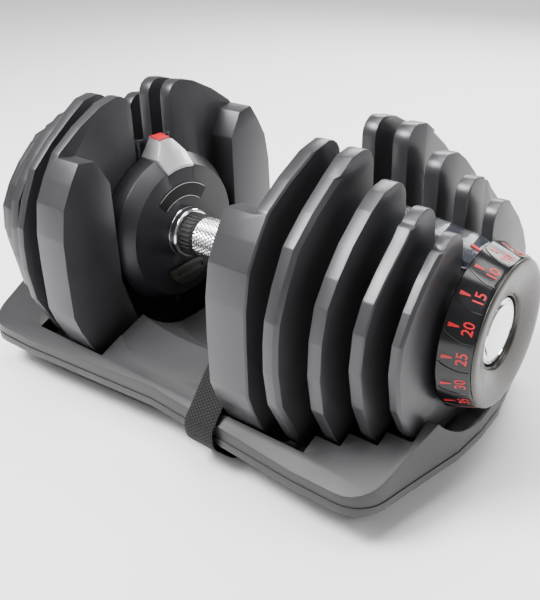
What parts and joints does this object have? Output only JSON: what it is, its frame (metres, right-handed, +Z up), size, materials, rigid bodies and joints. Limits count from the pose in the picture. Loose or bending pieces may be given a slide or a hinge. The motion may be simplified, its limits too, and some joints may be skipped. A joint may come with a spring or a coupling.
{
  "type": "adjustable dumbbell",
  "caption": "Adjustable dumbbell with nested slotted plates, a selector dial at each end and a storage tray with a securing strap.",
  "frame": {"origin": "on the ground under the middle of the tray", "axes": "+X along the handle towards the right dial, -Y to the front, +Z up"},
  "size_m": [0.4376, 0.243, 0.2255],
  "materials": {
    "cast_plate": "dark charcoal satin paint over cast iron, fine grain",
    "housing_plastic": "black moulded plastic",
    "silver_plastic": "silver grey moulded plastic",
    "lock_plate_metal": "olive grey painted pressing",
    "tray_plastic": "dark grey moulded plastic, fine texture",
    "dial_plastic": "semi-gloss black plastic with red numbers",
    "cap_plastic": "satin warm grey",
    "chrome_trim": "polished chrome",
    "knurled_steel": "bright knurled steel",
    "ring_plastic": "black fluted plastic",
    "inner_steel": "plain machined steel",
    "clear_cover": "clear tinted plastic",
    "red_mark": "red print",
    "foot_rubber": "black rubber",
    "strap_webbing": "black woven webbing"
  },
  "bodies": {
    "tray": {"tray_deck": "tray_plastic", "tray_pan": "tray_plastic", "foot_front_left": "foot_rubber", "foot_front_right": "foot_rubber", "foot_rear_left": "foot_rubber", "foot_rear_right": "foot_rubber", "securing_strap": "strap_webbing"},
    "handle": {"shaft": "inner_steel", "grip_bar": "knurled_steel", "ribbed_ring_left": "ring_plastic", "collar_left": "chrome_trim", "housing_left": "housing_plastic", "wedge_left": "silver_plastic", "lock_plate_left": "lock_plate_metal", "lock_spring_left": "inner_steel", "bridge_left": "clear_cover", "pointer_left": "red_mark", "end_nut_left": "inner_steel", "ribbed_ring_right": "ring_plastic", "collar_right": "chrome_trim", "housing_right": "housing_plastic", "wedge_right": "silver_plastic", "lock_plate_right": "lock_plate_metal", "lock_spring_right": "inner_steel", "bridge_right": "clear_cover", "pointer_right": "red_mark", "end_nut_right": "inner_steel"},
    "dial_left": {"dial_left": "dial_plastic", "dial_cap_left": "cap_plastic", "badge_left": "chrome_trim", "dial_sleeve_left": "inner_steel", "selector_left_1": "inner_steel", "selector_left_2": "inner_steel", "selector_left_3": "inner_steel", "selector_left_4": "inner_steel", "selector_left_5": "inner_steel"},
    "lock_pin_left": {"lock_pin_left": "inner_steel"},
    "plate_left_1": {"plate_left_1": "cast_plate"},
    "plate_left_2": {"plate_left_2": "cast_plate"},
    "plate_left_3": {"plate_left_3": "cast_plate"},
    "plate_left_4": {"plate_left_4": "cast_plate"},
    "plate_left_5": {"plate_left_5": "cast_plate"},
    "dial_right": {"dial_right": "dial_plastic", "dial_cap_right": "cap_plastic", "badge_right": "chrome_trim", "dial_sleeve_right": "inner_steel", "selector_right_1": "inner_steel", "selector_right_2": "inner_steel", "selector_right_3": "inner_steel", "selector_right_4": "inner_steel", "selector_right_5": "inner_steel"},
    "lock_pin_right": {"lock_pin_right": "inner_steel"},
    "plate_right_1": {"plate_right_1": "cast_plate"},
    "plate_right_2": {"plate_right_2": "cast_plate"},
    "plate_right_3": {"plate_right_3": "cast_plate"},
    "plate_right_4": {"plate_right_4": "cast_plate"},
    "plate_right_5": {"plate_right_5": "cast_plate"}
  },
  "joints": [
    {"name": "handle_lift", "type": "slide", "parent": "tray", "child": "handle", "axis": [0, 0, 1], "range_m": [0, 0.15], "deforming": ["securing_strap"]},
    {"name": "dial_left_turn", "type": "hinge", "parent": "handle", "child": "dial_left", "pos_m": [-0.2, 0, 0.112], "axis": [-1, 0, 0], "continuous": true},
    {"name": "lock_pin_left_press", "type": "slide", "parent": "handle", "child": "lock_pin_left", "axis": [0, 0, 1], "range_m": [0, 0.005], "stiffness_N_per_m": 400, "deforming": ["lock_spring_left"]},
    {"name": "plate_left_1_lift", "type": "slide", "parent": "tray", "child": "plate_left_1", "axis": [0, 0, 1], "range_m": [0, 0.15]},
    {"name": "plate_left_2_lift", "type": "slide", "parent": "tray", "child": "plate_left_2", "axis": [0, 0, 1], "range_m": [0, 0.15]},
    {"name": "plate_left_3_lift", "type": "slide", "parent": "tray", "child": "plate_left_3", "axis": [0, 0, 1], "range_m": [0, 0.15]},
    {"name": "plate_left_4_lift", "type": "slide", "parent": "tray", "child": "plate_left_4", "axis": [0, 0, 1], "range_m": [0, 0.15]},
    {"name": "plate_left_5_lift", "type": "slide", "parent": "tray", "child": "plate_left_5", "axis": [0, 0, 1], "range_m": [0, 0.15]},
    {"name": "dial_right_turn", "type": "hinge", "parent": "handle", "child": "dial_right", "pos_m": [0.2, 0, 0.112], "axis": [1, 0, 0], "continuous": true},
    {"name": "lock_pin_right_press", "type": "slide", "parent": "handle", "child": "lock_pin_right", "axis": [0, 0, 1], "range_m": [0, 0.005], "stiffness_N_per_m": 400, "deforming": ["lock_spring_right"]},
    {"name": "plate_right_1_lift", "type": "slide", "parent": "tray", "child": "plate_right_1", "axis": [0, 0, 1], "range_m": [0, 0.15]},
    {"name": "plate_right_2_lift", "type": "slide", "parent": "tray", "child": "plate_right_2", "axis": [0, 0, 1], "range_m": [0, 0.15]},
    {"name": "plate_right_3_lift", "type": "slide", "parent": "tray", "child": "plate_right_3", "axis": [0, 0, 1], "range_m": [0, 0.15]},
    {"name": "plate_right_4_lift", "type": "slide", "parent": "tray", "child": "plate_right_4", "axis": [0, 0, 1], "range_m": [0, 0.15]},
    {"name": "plate_right_5_lift", "type": "slide", "parent": "tray", "child": "plate_right_5", "axis": [0, 0, 1], "range_m": [0, 0.15]}
  ],
  "couplings": [
    {"joint": "plate_left_1_lift", "follows": "handle_lift", "ratio": 1},
    {"joint": "plate_left_2_lift", "follows": "handle_lift", "ratio": 1},
    {"joint": "plate_left_3_lift", "follows": "handle_lift", "ratio": 1},
    {"joint": "plate_left_4_lift", "follows": "handle_lift", "ratio": 1},
    {"joint": "plate_left_5_lift", "follows": "handle_lift", "ratio": 1},
    {"joint": "plate_right_1_lift", "follows": "handle_lift", "ratio": 1},
    {"joint": "plate_right_2_lift", "follows": "handle_lift", "ratio": 1},
    {"joint": "plate_right_3_lift", "follows": "handle_lift", "ratio": 1},
    {"joint": "plate_right_4_lift", "follows": "handle_lift", "ratio": 1},
    {"joint": "plate_right_5_lift", "follows": "handle_lift", "ratio": 1}
  ]
}
